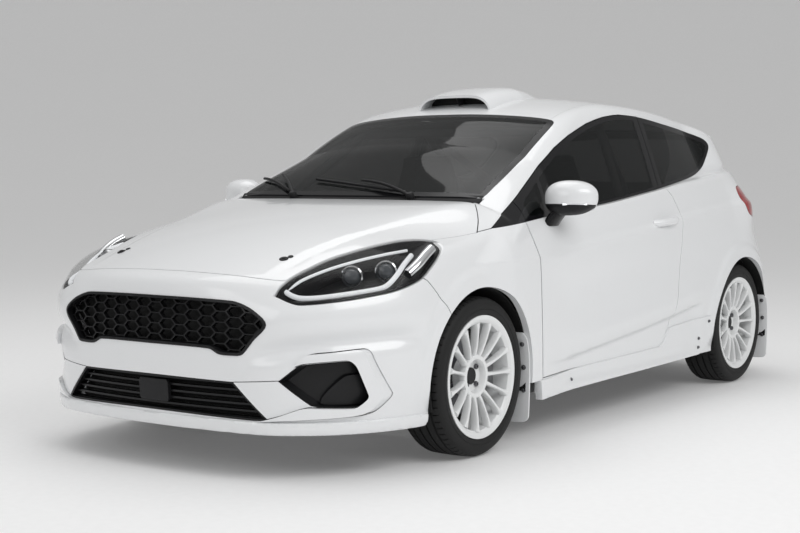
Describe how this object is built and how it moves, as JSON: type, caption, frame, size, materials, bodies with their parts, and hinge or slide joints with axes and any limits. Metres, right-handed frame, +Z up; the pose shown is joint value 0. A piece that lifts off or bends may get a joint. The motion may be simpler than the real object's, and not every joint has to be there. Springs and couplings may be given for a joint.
{
  "type": "rally car",
  "caption": "Three-door rally hatchback on spoked wheels, with opening doors, bonnet and tailgate, steered front wheels, roof scoop, roll cage and bucket seats",
  "frame": {"origin": "on the ground under the middle of the car's bounding box", "axes": "+X forward, +Y to the car's left, +Z up"},
  "size_m": [4.0687, 1.936, 1.48],
  "materials": {
    "body_paint": "gloss white paint",
    "black_plastic": "grained black moulding",
    "clear_glass": "lightly tinted glazing",
    "red_lens": "dark red lens",
    "chassis_steel": "satin dark coating",
    "bare_alloy": "cast and sheet alloy",
    "pipe_steel": "bare steel",
    "cage_paint": "light grey paint",
    "seat_cloth": "black woven cloth",
    "grip_leather": "black suede",
    "wheel_paint": "gloss white paint",
    "tyre_rubber": "black rubber"
  },
  "bodies": {
    "body": {"body_side_left": "body_paint", "body_side_right": "body_paint", "underbody": "chassis_steel", "roof_panel": "body_paint", "roof_vent": "body_paint", "windscreen": "clear_glass", "quarter_windows": "clear_glass", "cowl": "black_plastic", "front_fenders": "body_paint", "front_bumper": "body_paint", "front_splitter": "black_plastic", "grilles": "black_plastic", "fog_lamp_bezels": "body_paint", "headlight_housings": "black_plastic", "headlight_lenses": "clear_glass", "rear_bumper": "body_paint", "tail_lights": "red_lens", "side_skirts": "body_paint", "mud_flaps": "body_paint", "front_subframe": "chassis_steel", "engine_block": "bare_alloy", "sump_guard": "bare_alloy", "rear_axle_beam": "chassis_steel", "exhaust": "pipe_steel", "roll_cage": "cage_paint", "seats": "seat_cloth", "dashboard": "black_plastic"},
    "bonnet_lid": {"bonnet": "body_paint"},
    "door_left_leaf": {"door_left": "body_paint", "door_glass_left": "clear_glass", "door_mirror_left": "black_plastic"},
    "door_right_leaf": {"door_right": "body_paint", "door_glass_right": "clear_glass", "door_mirror_right": "black_plastic"},
    "tailgate_lid": {"tailgate": "body_paint", "rear_window": "clear_glass", "roof_spoiler": "body_paint"},
    "knuckle_left": {"front_knuckle_left": "chassis_steel"},
    "knuckle_right": {"front_knuckle_right": "chassis_steel"},
    "steering": {"steering_wheel": "grip_leather"},
    "wheel_front_left": {"rim_front_left": "wheel_paint", "tyre_front_left": "tyre_rubber", "brake_disc_front_left": "pipe_steel"},
    "wheel_front_right": {"rim_front_right": "wheel_paint", "tyre_front_right": "tyre_rubber", "brake_disc_front_right": "pipe_steel"},
    "wheel_rear_left": {"rim_rear_left": "wheel_paint", "tyre_rear_left": "tyre_rubber", "brake_disc_rear_left": "pipe_steel"},
    "wheel_rear_right": {"rim_rear_right": "wheel_paint", "tyre_rear_right": "tyre_rubber", "brake_disc_rear_right": "pipe_steel"}
  },
  "joints": [
    {"name": "door_left_hinge", "type": "hinge", "parent": "body", "child": "door_left_leaf", "pos_m": [0.712, 0.861, 0.6], "axis": [0, 0, -1], "range_deg": [0, 65]},
    {"name": "door_right_hinge", "type": "hinge", "parent": "body", "child": "door_right_leaf", "pos_m": [0.712, -0.861, 0.6], "axis": [0, 0, 1], "range_deg": [0, 65]},
    {"name": "bonnet_hinge", "type": "hinge", "parent": "body", "child": "bonnet_lid", "pos_m": [0.88, 0, 0.895], "axis": [0, -1, 0], "range_deg": [0, 50]},
    {"name": "tailgate_hinge", "type": "hinge", "parent": "body", "child": "tailgate_lid", "pos_m": [-1.505, 0, 1.338], "axis": [0, 1, 0], "range_deg": [0, 78]},
    {"name": "steer_left", "type": "hinge", "parent": "body", "child": "knuckle_left", "pos_m": [1.134, 0.7, 0.18], "axis": [0, -0.2153, 0.9765], "range_deg": [-30, 30]},
    {"name": "steer_right", "type": "hinge", "parent": "body", "child": "knuckle_right", "pos_m": [1.134, -0.7, 0.18], "axis": [0, 0.2153, 0.9765], "range_deg": [-30, 30]},
    {"name": "steering_wheel_turn", "type": "hinge", "parent": "body", "child": "steering", "pos_m": [0.314, 0.345, 0.77], "axis": [-0.9063, 0, 0.4226], "range_deg": [-360, 360]},
    {"name": "spin_front_left", "type": "hinge", "parent": "knuckle_left", "child": "wheel_front_left", "pos_m": [1.134, 0.762, 0.306], "axis": [0, 1, 0], "continuous": true},
    {"name": "spin_front_right", "type": "hinge", "parent": "knuckle_right", "child": "wheel_front_right", "pos_m": [1.134, -0.762, 0.306], "axis": [0, 1, 0], "continuous": true},
    {"name": "spin_rear_left", "type": "hinge", "parent": "body", "child": "wheel_rear_left", "pos_m": [-1.359, 0.742, 0.306], "axis": [0, 1, 0], "continuous": true},
    {"name": "spin_rear_right", "type": "hinge", "parent": "body", "child": "wheel_rear_right", "pos_m": [-1.359, -0.742, 0.306], "axis": [0, 1, 0], "continuous": true}
  ],
  "couplings": [
    {"joint": "steer_right", "follows": "steer_left", "ratio": 1},
    {"joint": "steering_wheel_turn", "follows": "steer_left", "ratio": 12}
  ]
}
